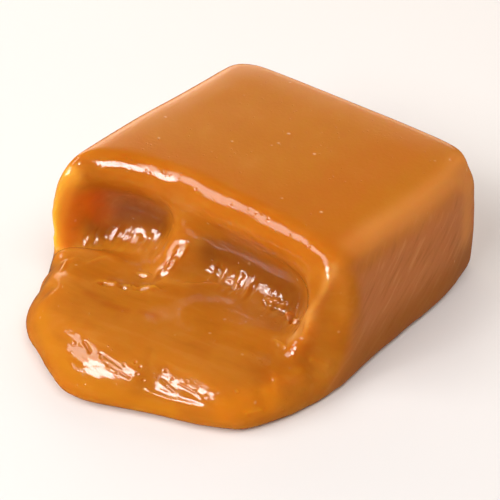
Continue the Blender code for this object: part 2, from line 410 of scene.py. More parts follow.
# %% The sag and the lean
LEFT_SAG = curve(
    (REACH, 0.1), (-11, 0.0), (-9.5, 0.05), (-8, 0.75), (-4, 1.0), (3, 1.0), (9, 0.65),
    (BACK, 0.35),
)
RIGHT_SAG = curve((REACH, 0.1), (-6, 0.15), (0, 0.2), (5, 0.5), (11, 0.85), (BACK, 0.1))
RIGHT_LEAN = curve((REACH, 0.6), (-3, 0.9), (6, 1.4), (BACK, 1.4))
BACK_SAG = 0.35
SKIN_GRID = 0.3
SKIN_ROUNDS = 4


def slump(points):
    """Lets the sides and the back sag, and leans the right side in."""
    x, y, z = points.T
    across = (x - LEFT) / (RIGHT - LEFT)
    right = (RIGHT_SAG(y) - RIGHT_LEAN(y) * (z / HEIGHT) ** 2) * across
    left = LEFT_SAG(y) * (1 - across)
    middle = np.clip(1 - (2 * across - 1) ** 4, 0, 1)
    return np.stack([x + right - left, y + BACK_SAG * middle * np.clip(y / BACK, 0, 1), z], 1)


def soften(obj, rounds):
    modifier = obj.modifiers.new("soften", "SMOOTH")
    modifier.factor = 0.5
    modifier.iterations = rounds
    settle(obj)


put_points(caramel, slump(draw_out(points_of(caramel))))
remesh(caramel, SKIN_GRID)
soften(caramel, SKIN_ROUNDS)
print("drawn out:", len(caramel.data.polygons), "faces,",
      "size in mm", np.round(np.ptp(points_of(caramel), axis=0), 1))

# %% [markdown]
# ## Four large folds
#
# Where the mass was pulled it gathered in folds, as cloth does: one drapes over the left of the
# tongue, one lies as a lip before the rib, one tucks the left rim in, and one lifts the right lobe.
# Each is a way seen from above with a height and a width. Its height fades away from the way and
# towards its ends, as a bell curve does, so no fold has a hard border.

# %% How near the points are to a way
FOLD_END = 0.2  # share of a fold over which each of its ends fades


def nearness(points, way, width, fade=FOLD_END):
    """How near points are to a way: 1 on it, 0 away from it and at its two ends."""
    nearest = np.full(len(points), np.inf)
    place = np.zeros(len(points))
    passed = 0.0
    for start, end in zip(np.array(way[:-1]), np.array(way[1:])):
        length = np.linalg.norm(end - start)
        run = (end - start) / length
        t = np.clip((points - start) @ run, 0.0, length)
        distance = np.linalg.norm(points - (start + t[:, None] * run), axis=1)
        place = np.where(distance < nearest, passed + t, place)
        nearest = np.minimum(distance, nearest)
        passed += length
    near = np.exp(-((nearest / width) ** 2))
    if not fade:
        return near
    ends = np.clip(np.minimum(place, passed - place) / (fade * passed), 0, 1)
    return near * ends * ends * (3 - 2 * ends)


# %% The folds
FOLDS = {
    # name: (height, half width, way seen from above)
    "drape": (0.55, 0.8, ((-13.0, -9.2), (-11.4, -7.4), (-9.4, -5.8), (-7.2, -5.2))),
    "lip": (0.4, 0.6, ((-7.6, -9.0), (-5.1, -8.3), (-3.0, -6.8), (-1.0, -5.6))),
    "left_tuck": (-0.4, 0.8, ((-12.2, -10.6), (-10.4, -12.2), (-8.6, -12.6))),
    "right_lobe": (0.4, 0.9, ((10.2, -8.4), (11.4, -7.0), (12.2, -5.6))),
}
FOLD_SIDE = (0.0, -0.6, 0.8)  # a fold rises forwards and upwards
FOLDS_BETWEEN = (1.0, 2.0, 6.0, 7.5)  # heights at which folds start, are full, fade and end
FOLD_ROUNDS = 2


def crease(points):
    """Raises the folds, but not at the floor and not up on the wall."""
    start, full, fading, end = FOLDS_BETWEEN
    z = points[:, 2]
    where = np.clip((z - start) / (full - start), 0, 1) * np.clip((end - z) / (end - fading), 0, 1)
    rise = sum(
        height * nearness(points[:, :2], way, width) for height, width, way in FOLDS.values()
    )
    return points + (where * rise)[:, None] * np.array(FOLD_SIDE)


put_points(caramel, crease(points_of(caramel)))
soften(caramel, FOLD_ROUNDS)
print("folds:", ", ".join(FOLDS))

# %% [markdown]
# ## Soft corners inside the bite
#
# Two corners are rounder than the rest: the one where the left hollow turns into the rib, and the
# one that leads down the right hollow to the ridge. Smoothing the whole mesh would blur the sharp
# ridge as well. So the points are evened out with their neighbours only near the two corners,
# and the corners are found by rays through points of the camera's picture.


# %% Places on the surface, and values evened out
def tree_of(obj):
    """The faces of an object, sorted so that a ray finds the first one in its way."""
    return BVHTree.FromPolygons(
        [tuple(p) for p in points_of(obj)], [tuple(f.vertices) for f in obj.data.polygons]
    )


def on_surface(tree, way):
    """The places on the caramel that the camera sees at the points of a way in the picture."""
    hits = [tree.ray_cast(*sight_line(u, v))[0] for u, v in way]
    return [hit for hit in hits if hit]


def evened(obj, values, rounds):
    """Values evened out between neighbouring points."""
    ends = np.empty(len(obj.data.edges) * 2, np.int32)
    obj.data.edges.foreach_get("vertices", ends)
    a, b = ends.reshape(-1, 2).T
    count = np.bincount(a, minlength=len(values)) + np.bincount(b, minlength=len(values))
    for _ in range(rounds):
        total = np.bincount(a, values[b], len(values)) + np.bincount(b, values[a], len(values))
        values = 0.5 * values + 0.5 * total / count
    return values


# %% The two corners
SOFT_CORNERS = (
    # ways in the picture: the left hollow's right corner, and the right hollow's
    (
        (140, 196), (158, 197), (170, 202), (176, 214), (174, 226), (168, 238), (160, 254),
        (152, 272),
    ),
    ((264, 248), (287, 262), (303, 277), (311, 292), (312, 305), (306, 320)),
)
SOFT_WIDTH = 0.9
SOFT_FADE = 0.1
SOFT_ROUNDS = 30


def soften_corners(obj):
    points, tree = points_of(obj), tree_of(obj)
    near = sum(
        nearness(points, on_surface(tree, way), SOFT_WIDTH, SOFT_FADE) for way in SOFT_CORNERS
    )
    near = np.clip(near, 0, 1)[:, None]
    for _ in range(SOFT_ROUNDS):
        evened_points = np.stack([evened(obj, points[:, k], 1) for k in range(3)], 1)
        points = points + near * (evened_points - points)
    put_points(obj, points)
    print("points softened:", int((near > 0.5).sum()))


soften_corners(caramel)

# %% [markdown]
# ## A finer mesh where the surface is wet and wrinkled
#
# The cut faces are smooth, so a coarse mesh holds them. The bitten front carries folds a third of a
# millimetre wide and needs faces smaller than that. A finer remesh of the whole caramel would spend
# most of its faces on the plain top. So the faces of the front are divided once, and those of the
# hollows, the wall's top edge and the tongue's shoulder, where light plays, a second time.


# %% Where the caramel is bitten
def smoothstep(low, high, x):
    """From 0 at low to 1 at high, with soft ends."""
    t = np.clip((x - low) / (high - low), 0, 1)
    return t * t * (3 - 2 * t)


BITE_FADE = (2.2, 0.9)  # how far behind the wall's edge the bite starts, and is full
LEFT_FADE = (-0.9, -0.2)  # the same beside the left side
RIGHT_FADE = (0.3, -0.4)  # and beside the right side


def bitten(points):
    """1 on the bitten wall and the tongue, 0 on the cut faces."""
    x, y, z = points.T
    front = smoothstep(*BITE_FADE, y - EDGE(np.clip(x, LEFT, RIGHT)))
    right = smoothstep(RIGHT + RIGHT_FADE[0], RIGHT + RIGHT_FADE[1], x)
    return front * (right * smoothstep(LEFT + LEFT_FADE[0], LEFT + LEFT_FADE[1], x))


# %% Dividing the faces of the front
FRONT_BEHIND = 1.2  # the finer mesh starts this far behind the wall's edge
FRONT_LOW = 1.0
HOLLOWS = {"in_front_of_foot": 1.1, "top": 5.2, "left": -12.4, "right": 10.8}
EDGE_BAND = (0.7, 1.0)  # half its width, and how far below the top it reaches
SHOULDER_BAND = (0.8, 3.0)  # how far behind the shoulder it starts, and its lowest height


def on_front(x, y, z):
    return (y < EDGE(np.clip(x, LEFT, RIGHT)) + FRONT_BEHIND) & (z > FRONT_LOW)


def in_detail(x, y, z):
    """The two hollows, the wall's top edge and the tongue's shoulder."""
    inside = np.clip(x, LEFT, RIGHT)
    hollows = (y > FOOT(inside) - HOLLOWS["in_front_of_foot"]) & (z < HOLLOWS["top"])
    hollows = hollows & (x > HOLLOWS["left"]) & (x < HOLLOWS["right"])
    edge = (np.abs(y - EDGE(inside)) < EDGE_BAND[0]) & (z > HEIGHT - EDGE_BAND[1])
    shoulder = (y < SHOULDER(inside) + SHOULDER_BAND[0]) & (z > SHOULDER_BAND[1])
    return on_front(x, y, z) & (hollows | edge | shoulder)


def divide(obj, chosen):
    """Cuts each chosen face in four."""
    mesh = bmesh.new()
    mesh.from_mesh(obj.data)
    middles = np.array([face.calc_center_median() for face in mesh.faces])
    picks = chosen(*middles.T)
    edges = {edge for face, pick in zip(mesh.faces, picks) if pick for edge in face.edges}
    bmesh.ops.subdivide_edges(mesh, edges=list(edges), cuts=1, use_grid_fill=True)
    mesh.to_mesh(obj.data)
    mesh.free()
    print("divided into", len(obj.data.polygons), "faces")


for chosen, rounds in ((on_front, 2), (in_detail, 1)):
    divide(caramel, chosen)
    soften(caramel, rounds)

# %% [markdown]
# ## Swells and an uneven skin
#
# No face of a real sweet is quite flat. The cut top has settled at its edges, two shallow grooves
# part the lobes of the tongue, and the bitten front is uneven on three scales. A displacement
# texture on a modifier could do it, but it would push the cut faces as much as the wet ones. Here
# smooth noise is read only at the points that count, and each moves along its own normal.

# %% The top falls towards its edges
CROWN = 0.24  # how far it falls
CROWN_WIDTH = 4.5
CROWN_FROM = (3.0, 1.0)  # how far below the top it starts, and is full


def fallen(points):
    """How far the cut top has settled at its back, left and right edges, from 0 to 1."""
    x, y, z = points.T
    right_side = RIGHT + RIGHT_SAG(y) - RIGHT_LEAN(y)
    ways_in = (x - LEFT + LEFT_SAG(y), BACK + BACK_SAG - y, right_side - x)
    near = sum(np.clip(1 - way_in / CROWN_WIDTH, 0, 1) ** 2 for way_in in ways_in)
    return near * smoothstep(HEIGHT - CROWN_FROM[0], HEIGHT - CROWN_FROM[1], z)


# %% Grooves and noise
def noise_at(points, where, cell):
    """Smooth noise, from -1 to 1, at the points that count."""
    values = np.zeros(len(points))
    for i in np.flatnonzero(where):
        values[i] = noise.noise(Vector(points[i] / cell))
    return values


GROOVES = {
    # name: (height, half width, way seen from above)
    "groove_middle": (-0.12, 0.45, ((1.8, -11.6), (2.2, -12.8), (3.1, -13.9))),
    "groove_right": (-0.16, 0.6, ((9.6, -8.4), (10.4, -9.6), (11.2, -10.2))),
}
GROOVE_FADE = 0.25
GROOVES_LOW = 1.0
UNEVEN = ((0.03, 4.0, 0.0), (0.07, 2.6, 1.0), (0.025, 1.1, 1.0))  # height, cell, only in the bite
FAINTEST = 0.01


def relief(points):
    """How far each point rises along its normal."""
    rise = sum(h * nearness(points[:, :2], way, w, GROOVE_FADE) for h, w, way in GROOVES.values())
    rise *= points[:, 2] > GROOVES_LOW
    rise -= CROWN * fallen(points)
    bite = bitten(points)
    for height, cell, only_bitten in UNEVEN:
        share = (1 - only_bitten) + only_bitten * bite
        rise += height * share * noise_at(points, share > FAINTEST, cell)
    return rise


rise = relief(points_of(caramel))
put_points(caramel, points_of(caramel) + normals_of(caramel) * rise[:, None])
print("relief from", round(rise.min(), 2), "to", round(rise.max(), 2), "mm")

# %% [markdown]
# ## Small flats that catch the lamps
#
# In the hollows the wet skin has torn into small flats, and each shines where it mirrors a lamp.
# Bumps at random give sparkle in random places. To get each gleam where it belongs, the surface is
# tipped there: the normal of a mirror lies halfway between the way to the lamp and the way to the
# camera, so a patch of the surface is turned until its normal is that one. Its shift fades towards
# its border, so the patch joins the skin around it.

# %% The lamps and the flats
BRIGHT_BOX = (352, 36)  # azimuth and elevation of the two lamps, in degrees
PALE_BOX = (315, 42)
LAMP_DISTANCE = 500.0
FLATS = {
    # name: (lamp that it mirrors, half width in mm, its two ends in the picture)
    "lip_1": (BRIGHT_BOX, 0.14, ((121, 286), (133, 288))),
    "lip_2": (BRIGHT_BOX, 0.14, ((135, 288), (152, 289))),
    "lip_3": (PALE_BOX, 0.14, ((104, 283), (117, 285))),
    "spot": (BRIGHT_BOX, 0.16, ((139, 274), (148, 276))),
    "rib": (BRIGHT_BOX, 0.22, ((160, 276), (172, 263))),
    "rib_top": (BRIGHT_BOX, 0.2, ((173, 262), (184, 249))),
    "right_1": (BRIGHT_BOX, 0.2, ((213, 267), (222, 273))),
    "right_2": (BRIGHT_BOX, 0.2, ((226, 282), (233, 283))),
    "right_3": (BRIGHT_BOX, 0.2, ((241, 286), (242, 276))),
    "right_4": (PALE_BOX, 0.2, ((232, 289), (237, 286))),
    "right_5": (BRIGHT_BOX, 0.2, ((266, 305), (268, 299))),
    "right_6a": (BRIGHT_BOX, 0.3, ((272, 303), (277, 306))),
    "right_6b": (BRIGHT_BOX, 0.3, ((280, 307), (286, 310))),
    "right_7": (BRIGHT_BOX, 0.2, ((289, 315), (293, 320))),
    "right_8": (BRIGHT_BOX, 0.15, ((294, 321), (298, 322))),
}
FLAT_SHARE = 0.6  # how much of a patch is flat before it fades
FLAT_REACH = 1.6  # no point further off than this many half lengths moves
FLAT_ROUNDS = 2
STEEPEST = 1.1  # the steepest slope that a patch is tipped by
NEAREST = 30  # points whose mean normal is the first guess at a patch's own


# %% Tipping one flat
def unit(vector):
    """The same direction, with a length of 1."""
    return vector / np.linalg.norm(vector)


def tip(points, normals, lamp, width, ends):
    """The shift that tips a small flat until it mirrors a lamp at the camera."""
    start, end = np.array(ends)
    middle, length = (start + end) / 2, np.linalg.norm(end - start)
    offset = points - middle
    away = np.linalg.norm(offset, axis=1)
    close = np.flatnonzero(away < (length / 2 + width) / FLAT_SHARE * FLAT_REACH)
    offset = offset[close]
    half_length, half_width = length / 2 / FLAT_SHARE, width / FLAT_SHARE

    def weights(along_way, across):
        """1 on the flat and 0 past it, with a steep fall between: an oval with soft borders."""
        oval = (offset @ along_way / half_length) ** 2 + (offset @ across / half_width) ** 2
        return np.exp(-(oval ** 3))

    way = unit(end - start)
    normal = unit(normals[np.argsort(away)[:NEAREST]].mean(0))
    for _ in range(2):
        across = unit(np.cross(normal, way))
        normal = unit((normals[close] * weights(way, across)[:, None] ** 2).sum(0))
    along_way = np.cross(across, normal)
    halfway = unit(direction(*lamp) * LAMP_DISTANCE - middle) + unit(np.array(eye) - middle)
    slopes = [-(halfway @ axis) / (halfway @ normal) for axis in (along_way, across)]
    slopes = np.clip(slopes, -STEEPEST, STEEPEST)
    rise = offset @ along_way * slopes[0] + offset @ across * slopes[1]
    return close, (rise * weights(along_way, across))[:, None] * normal


# %% Tipping them all, twice
tree = tree_of(caramel)
points, normals = points_of(caramel), normals_of(caramel)
ends_of = {name: on_surface(tree, ends) for name, (_, _, ends) in FLATS.items()}
for _ in range(FLAT_ROUNDS):
    shift = np.zeros_like(points)
    for name, (lamp, width, _) in FLATS.items():
        close, move = tip(points, normals, lamp, width, ends_of[name])
        shift[close] += move
    points += shift
    put_points(caramel, points)
    normals = normals_of(caramel)
    print("flats tipped, largest shift", round(float(np.abs(shift).max()), 3), "mm")

# %% [markdown]
# ## Wrinkles, ripples and opened bubbles
#
# The finest marks are one or two tenths of a millimetre high: the sharp line on the ridge, threads
# along the rim, scratches in the wet tongue, ripples where the mass tore, fine lines across the
# tongue, and small bubbles that opened at the surface. A bump map could draw them, but it fades at
# a grazing view and isn't in the mesh. So they are raised from the surface too, in one sum.

# %% Wrinkles and scratches
WRINKLES = {
    # name: (height, half width, way in the picture); a scratch has a height below 0
    "lip": (0.12, 0.2, ((102, 284), (120, 288), (138, 290), (155, 292))),
    "loop_left": (0.12, 0.16, ((60, 273), (66, 262), (80, 257))),
    "loop_right": (0.12, 0.16, ((84, 264), (97, 259), (110, 256))),
    "spot": (0.14, 0.2, ((136, 274), (142, 276), (149, 277))),
    "ridge": (0.24, 0.35, ((333, 268), (326, 288), (316, 305), (303, 325), (291, 339))),
    "ridge_foot": (0.16, 0.2, ((272, 339), (280, 343), (286, 348))),
    "rim_line": (0.12, 0.2, ((140, 388), (152, 393), (168, 399), (190, 404), (210, 409))),
    "right_rim": (0.14, 0.3, ((308, 358), (318, 362), (330, 368))),
    "front_drop": (0.1, 0.2, ((244, 413), (252, 412), (264, 409))),
    "specks": (0.1, 0.14, ((182, 283), (196, 284), (206, 283), (220, 284))),
    "slit": (-0.1, 0.12, ((83, 340), (87, 347), (91, 354))),
    "scratch_1": (-0.08, 0.1, ((160, 378), (168, 386), (177, 394))),
    "scratch_2": (-0.06, 0.1, ((176, 382), (190, 389), (203, 399))),
    "scratch_3": (-0.06, 0.1, ((98, 352), (112, 361), (124, 370))),
    "scratch_4": (-0.05, 0.1, ((104, 362), (118, 371), (130, 379))),
}
WRINKLE_FADE = 0.15
WRINKLE_FAINTEST = 0.002

tree = tree_of(caramel)
rise = np.zeros(len(points))
for height, width, way in WRINKLES.values():
    near = nearness(points, on_surface(tree, way), width, WRINKLE_FADE)
    rise += height * np.where(near > WRINKLE_FAINTEST, near, 0)
print(len(WRINKLES), "wrinkles and scratches")

# %% Ripples in the wet hollows and fine lines across the tongue
ROUGH_PLACES = {
    # name: (half width, fade, ripples as (height, cell along x, y and z), ways in the picture)
    "wet": (
        0.9, 0.12, ((0.14, (0.35, 1.3, 0.9)), (0.15, (0.8, 2.2, 1.4))),
        (
            ((76, 244), (92, 240), (108, 237), (124, 239), (140, 244), (156, 240), (172, 230)),
            ((208, 268), (224, 278), (240, 287), (256, 294)),
            ((262, 300), (276, 309), (290, 317), (300, 325)),
        ),
    ),
    "stream": (
        1.4, 0.1, ((0.042, (1.8, 0.5, 0.5)),),
        (
            ((60, 338), (80, 349), (100, 360), (120, 370), (142, 387)),
            ((156, 368), (180, 382), (200, 394), (224, 410)),
        ),
    ),
}
ROUGH_FAINTEST = 0.02

for name, (width, fade, ripples, ways) in ROUGH_PLACES.items():
    here = sum(nearness(points, on_surface(tree, way), width, fade) for way in ways)
    here = np.clip(here, 0, 1)
    for height, cell in ripples:
        rise += height * here * noise_at(points, here > ROUGH_FAINTEST, np.array(cell))
    print(name, "covers", int((here > 0.5).sum()), "points")

# %% Small bubbles that opened at the surface
PITS = {
    # name: (depth, radius, places in the picture); one that is still closed has a depth below 0
    "edge": (0.05, 0.14, (
        (122, 164), (129, 168), (146, 170), (150, 173), (163, 172), (170, 175), (249, 209),
        (256, 213), (262, 214), (268, 219), (231, 205), (290, 235), (309, 247), (196, 189),
    )),
    "tongue": (0.06, 0.17, (
        (135, 362), (140, 367), (137, 374), (143, 380), (101, 357), (108, 366), (117, 373),
        (124, 365), (129, 378), (166, 371), (172, 379), (187, 382), (195, 391), (206, 396),
        (213, 403), (74, 343),
    )),
    "raised": (-0.07, 0.2, (
        (208, 345), (260, 362), (237, 391), (161, 219), (173, 226), (226, 310), (150, 325),
    )),
    "wall": (0.08, 0.2, (
        (102, 189), (130, 192), (171, 206), (235, 240), (259, 249), (282, 262), (199, 214),
    )),
}
PIT_RIM = (0.3, 1.2, 0.3)  # the rim's height as a share of the depth, its radius and its width

for depth, radius, places in PITS.values():
    for place in on_surface(tree, places):
        away = np.linalg.norm(points - np.array(place), axis=1) / radius
        rim = PIT_RIM[0] * depth * np.exp(-(((away - PIT_RIM[1]) / PIT_RIM[2]) ** 2))
        rise -= depth * np.clip(1 - away ** 2, 0, 1) ** 2 - rim

put_points(caramel, points + normals * rise[:, None])
print("bubbles:", sum(len(places) for _, _, places in PITS.values()),
      "marks from", round(rise.min(), 2), "to", round(rise.max(), 2), "mm")

# %% [markdown]
# ## What the colour depends on
#
# Caramel lets light in, so its colour isn't one but depends on the place. Thin rims are painted
# amber for the light that glows through them, and the backs of the hollows dark brown for their
# shade. The colour could be painted on an image, but an image needs a flat layout of the surface.
# Here each point of the mesh keeps a few numbers instead, its attributes, and the material reads
# them: how thick the caramel is below the point, how bitten the place is, whether it lies on a cut
# side, and soft patches of painted glow, painted shade and tint.


# %% How thick the caramel is below each point
def mean_way(obj, tree, spread, limit, turns=5, first=0.4, inside=0.05):
    """The mean length of the way from each point through the caramel, over six rays."""
    angles = first + np.arange(turns) * 2 * math.pi / turns
    rays = [(0.0, 0.0)] + [(math.cos(angle), math.sin(angle)) for angle in angles]
    result = np.zeros(len(obj.data.vertices))
    for i, (p, n) in enumerate(zip(points_of(obj), normals_of(obj))):
        n = Vector(n) * -1.0
        side = n.orthogonal().normalized()
        other = n.cross(side)
        start = Vector(p) + n * inside
        for u, v in rays:
            way = (n + (side * u + other * v) * spread).normalized()
            distance = tree.ray_cast(start, way, limit)[3]
            result[i] += limit if distance is None else distance
    return result / len(rays)


def keep_attribute(obj, name, values):
    """Gives each point of the mesh a value that the material can read."""
    attribute = obj.data.attributes.new(name, "FLOAT", "POINT")
    attribute.data.foreach_set("value", values.astype(np.float32))
    print(name, "least, middle and most", np.round(np.percentile(values, [0, 50, 100]), 2))


THICK_SPREAD = 0.75
THICKEST = 14.0
THICK_ROUNDS = 12

tree = tree_of(caramel)
thickness = mean_way(caramel, tree, THICK_SPREAD, THICKEST)
keep_attribute(caramel, "thickness", evened(caramel, thickness, THICK_ROUNDS))

# %% The bite, the cut sides and their lower part
SIDE_SLOPES = (0.75, 0.25)  # upward part of the normal where a side starts, and is full
# heights where the painted shade on the cut sides starts, and where it is full
LOW_SHADE_HEIGHTS = (6.5, 1.0)

bite = bitten(points_of(caramel))
cut_side = smoothstep(*SIDE_SLOPES, normals_of(caramel)[:, 2]) * (1 - bite)
keep_attribute(caramel, "bitten", bite)
keep_attribute(caramel, "cut_side", cut_side)
# low: the lower part of the cut sides, which the material darkens with painted shade
keep_attribute(caramel, "low", cut_side * smoothstep(*LOW_SHADE_HEIGHTS, points_of(caramel)[:, 2]))

# %% Patches of painted glow, painted shade and tint
TINTS = {
    # name: (half width, ways in the picture)
    "thin_edge": (1.2, (
        ((354, 246), (380, 230), (405, 216), (430, 197), (450, 180), (463, 166)),
        ((466, 172), (468, 200), (466, 235)),
    )),
    # a painted glow of light through the thin left end of the wall
    "amber": (0.9, (((72, 176), (64, 200), (58, 225), (56, 243)),)),
    # rim: a painted glow of light through the thin left rim of the tongue
    "rim": (0.9, (((40, 315), (46, 340), (62, 362), (82, 379), (120, 398), (170, 412)),)),
    # ridge: a painted glow of light through the thin crest of the sharp ridge
    "ridge": (0.45, (((333, 268), (326, 288), (316, 305), (303, 325), (291, 339)),)),
    # painted shade in the backs of the two hollows
    "hollow_shade": (1.5, (
        ((100, 222), (112, 216), (128, 212), (146, 214), (162, 222)),
        ((214, 252), (230, 254), (246, 262), (262, 272), (280, 284), (296, 300)),
    )),
    # painted shade in the creases below the lip
    "crease_shade": (0.3, (
        ((86, 292), (96, 297)), ((105, 303), (116, 307), (127, 311)), ((142, 312), (156, 316)),
    )),
    # painted shade at the foot of the right hollow
    "right_foot_shade": (2.0, (((204, 292), (228, 300), (252, 310), (276, 322)),)),
    "ruddy": (2.8, (
        ((130, 152), (180, 166), (240, 192), (300, 226), (330, 240)),
        ((330, 195), (370, 165), (400, 150)),
    )),
    "dusky": (1.6, (((272, 372), (290, 362), (304, 352)),)),
    "glow": (1.2, (((226, 412), (246, 405), (268, 400)),)),
    "pillar": (1.1, (((320, 296), (329, 318), (337, 346)),)),
    "red": (1.5, (((94, 197), (96, 204), (99, 212)),)),
}
TINT_ROUNDS = 10

for name, (width, ways) in TINTS.items():
    tint = sum(nearness(points, on_surface(tree, way), width, 0) for way in ways)
    keep_attribute(caramel, name, evened(caramel, np.clip(tint, 0, 1), TINT_ROUNDS))

# %% [markdown]
# ## The material: soft caramel
#
# Caramel is sugar boiled with milk and butter. It scatters light inside, so edges look lit from
# within, and that is the shader's subsurface share with a radius of a few millimetres, most for
# red. The cut skin is satin and the bitten part wet: one roughness for each, blended by the
# bite. A glass shader with a volume would be nearer to the truth, but it is slow and noisy, and
# caramel this milky shows nothing behind it. The colour is built like a painting, in coats: a list
# of patterns, each with its colour, laid over one another in order.


# %% Colours and nodes
def linear(hex_colour):
    """An sRGB hex colour as a linear RGBA tuple."""
    channels = [int(hex_colour[i : i + 2], 16) / 255 for i in (1, 3, 5)]
    curved = [c / 12.92 if c <= 0.04045 else ((c + 0.055) / 1.055) ** 2.4 for c in channels]
    return (*curved, 1.0)


material = bpy.data.materials.new("soft caramel")
material.use_nodes = True
nodes, links = material.node_tree.nodes, material.node_tree.links
shader = nodes["Principled BSDF"]


def add_node(kind, output, settings=None, inputs=None):
    """Adds a node with its settings and links, and gives back one of its outputs."""
    node = nodes.new(kind)
    for key, value in (settings or {}).items():
        setattr(node, key, value)
    for key, value in (inputs or {}).items():
        if isinstance(value, bpy.types.NodeSocket):
            links.new(value, node.inputs[key])
        else:
            node.inputs[key].default_value = value
    return node.outputs[output]


SMOOTH = {"interpolation_type": "SMOOTHSTEP"}
MULTIPLY = {"operation": "MULTIPLY"}
at = {
    name: add_node("ShaderNodeAttribute", "Fac", {"attribute_name": name})
    for name in ("thickness", "bitten", "cut_side", "low", *TINTS)
}
place = add_node("ShaderNodeTexCoord", "Object")
print("the material reads", len(at), "attributes")

# %% [markdown]
# ## Patterns in the mass
#
# The mass is clouded where milk and sugar mixed unevenly. Its skin has a fine grain, which on the
# real one is finer than the picture can show, so it is drawn at a third of a millimetre. The knife
# dragged the cut sides into slanting strokes, and the tongue's skin was drawn into long streaks
# that run across it. All four are noise whose cells have sizes in millimetres. For the last two
# the space is turned and stretched first, so that each cell becomes a stroke.

# %% Noise with a size in millimetres
patterns = {}
for name, cell, detail in (("clouds", 3.2, 3.0), ("grain", 0.3, 2.0)):
    inputs = {"Vector": place, "Scale": 1 / (cell * MM), "Detail": detail}
    patterns[name] = add_node("ShaderNodeTexNoise", "Fac", None, inputs)

STRETCHED = {
    # name: (turn about x, y and z in degrees, cell along x, y and z, detail)
    "strokes": ((37, 0, 0), (0.7, 4.0, 0.55), 2.0),
    "flow": ((0, 0, 12), (5.0, 1.0, 1.0), 3.0),
}
for name, (turns, cell, detail) in STRETCHED.items():
    stretched = add_node("ShaderNodeMapping", "Vector", {"vector_type": "TEXTURE"}, {
        "Vector": place,
        "Rotation": [math.radians(angle) for angle in turns],
        "Scale": [length * MM for length in cell],
    })
    inputs = {"Vector": stretched, "Scale": 1.0, "Detail": detail}
    patterns[name] = add_node("ShaderNodeTexNoise", "Fac", None, inputs)
print("patterns:", ", ".join(patterns))


# %% [markdown]
# ## Bubbles under the skin
#
# Air stayed in the boiled mass as small round bubbles, pale specks that lift the skin a little.
# They could be modelled one by one, but there are hundreds. A Voronoi texture gives one point to
# each cell. A spot is drawn around the point, and the cell's own random colour decides whether
# that cell has a bubble at all.

# %% Bubbles of two sizes
def bubbles(cell, radius, share):
    """Round spots in some of the cells: 1 in a spot's middle, 0 outside."""
    inputs = {"Vector": place, "Scale": 1 / (cell * MM)}
    distance = add_node("ShaderNodeTexVoronoi", "Distance", None, inputs)
    colour = distance.node.outputs["Color"]
    spot = add_node("ShaderNodeMapRange", "Result", SMOOTH, {
        "Value": distance, "From Min": radius / cell, "From Max": 0.0,
    })
    chance = add_node("ShaderNodeSeparateColor", 0, None, {"Color": colour})
    chosen = add_node("ShaderNodeMath", 0, {"operation": "LESS_THAN"}, {0: chance, 1: share})
    return add_node("ShaderNodeMath", 0, MULTIPLY, {0: spot, 1: chosen})


large_bubbles = bubbles(cell=1.7, radius=0.2, share=0.5)
fine_bubbles = bubbles(cell=0.55, radius=0.1, share=0.5)
print("nodes so far:", len(nodes))

# %% [markdown]
# ## Coats of colour
#
# The first coats are the mass itself, a little paler in the bite and amber where it is thin, which
# paints the glow of light through it. Then come clouds and streaks, light and dark. The cut sides
# get a dull pinkish coat that paints their sheen, the strokes the knife left, and painted shade
# that makes them browner near the floor. The tints come last: painted glow where light comes
# through, painted shade in the hollows and creases, and some tints of the mass. The pale bubbles
# lie over all.

# %% The mass, the painted glow of thin rims, clouds and streaks
MASS = "#C27310"
THIN = (4.6, 2.4)  # mean thickness where the caramel starts to glow, and where it glows most
CLOUDS_ON_CUT = 0.4

thin_glow = add_node("ShaderNodeMapRange", "Result", SMOOTH, {
    "Value": at["thickness"], "From Min": THIN[0], "From Max": THIN[1],
})
# the second coat is a painted glow: thin parts are lightened for the light that comes through them
coats = [(at["bitten"], "#C7781C"), (thin_glow, "#DA942C")]
cloudy = add_node("ShaderNodeMapRange", "Result", SMOOTH, {
    "Value": at["bitten"], "To Min": CLOUDS_ON_CUT, "To Max": 1.0,
})


def add_coats(*rows):
    """Adds coats: a pattern, its values where the coat starts and is full, share, place, colour."""
    for pattern, start, full, share, where, colour in rows:
        amount = add_node("ShaderNodeMapRange", "Result", SMOOTH, {
            "Value": patterns[pattern], "From Min": start, "From Max": full, "To Max": share,
        })
        coats.append((add_node("ShaderNodeMath", 0, MULTIPLY, {0: amount, 1: where}), colour))


add_coats(
    ("clouds", 0.50, 0.75, 0.20, cloudy, "#E09A45"),
    ("clouds", 0.50, 0.25, 0.20, cloudy, "#A8560A"),
    ("flow", 0.52, 0.70, 0.12, at["bitten"], "#E0A04C"),
    ("flow", 0.48, 0.30, 0.14, at["bitten"], "#9A520C"),
)
print(len(coats), "coats on the mass")

# %% The cut sides, with a painted sheen
# a dull pinkish coat paints the sheen that the cut sides would show as they mirror the table
coats.append((at["cut_side"], "#CB7D46"))
add_coats(
    ("strokes", 0.52, 0.72, 0.35, at["cut_side"], "#E6A262"),
    ("strokes", 0.48, 0.28, 0.35, at["cut_side"], "#A0602C"),
)
print(len(coats), "coats with those of the cut sides")

